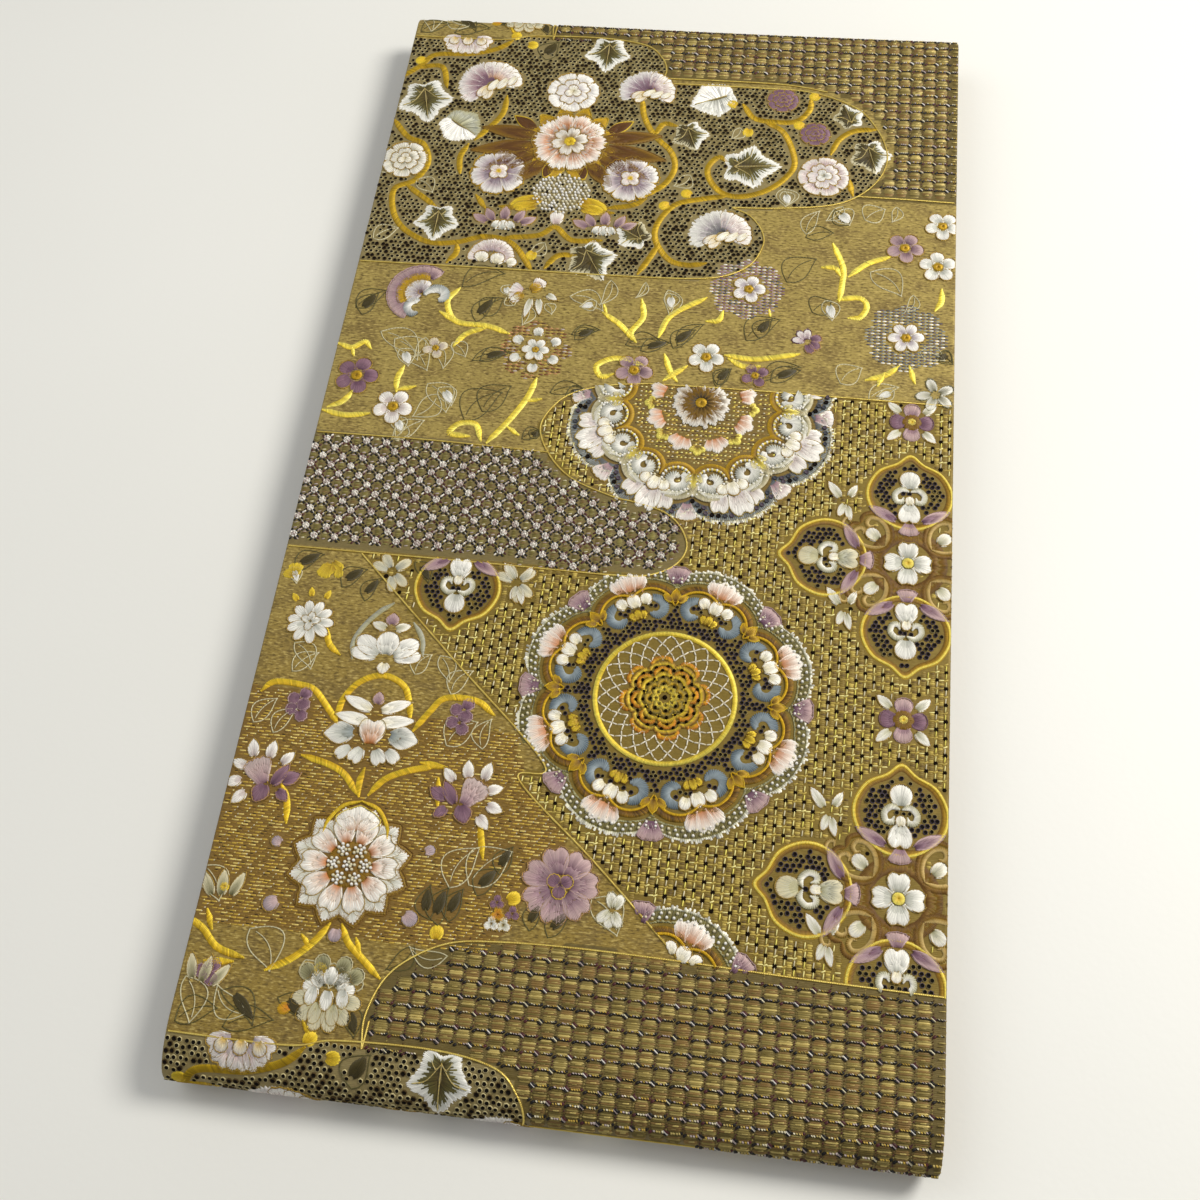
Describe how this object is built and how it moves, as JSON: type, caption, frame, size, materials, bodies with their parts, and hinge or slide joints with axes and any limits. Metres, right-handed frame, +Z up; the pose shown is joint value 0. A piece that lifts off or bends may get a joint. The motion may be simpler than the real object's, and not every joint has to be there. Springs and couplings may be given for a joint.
{
  "type": "obi sash",
  "caption": "Wide double-faced obi sash of gold embroidered silk, folded end to end into a flat layered pack that lies on its underside.",
  "frame": {"origin": "middle of the folded pack's underside, on the surface it lies on", "axes": "+X across the sash's width, +Y from the front fold to the far bends, +Z up"},
  "size_m": [0.31, 0.5954, 0.0254],
  "materials": {
    "face_cloth": "figured gold silk with raised hand embroidery, soft metallic lustre",
    "back_cloth": "plain gold silk, soft sheen",
    "inner_folds": "folded silk layers, matt along their edges"
  },
  "bodies": {
    "root": {"face_cloth": "face_cloth", "back_cloth": "back_cloth", "inner_folds": "inner_folds"}
  },
  "joints": []
}
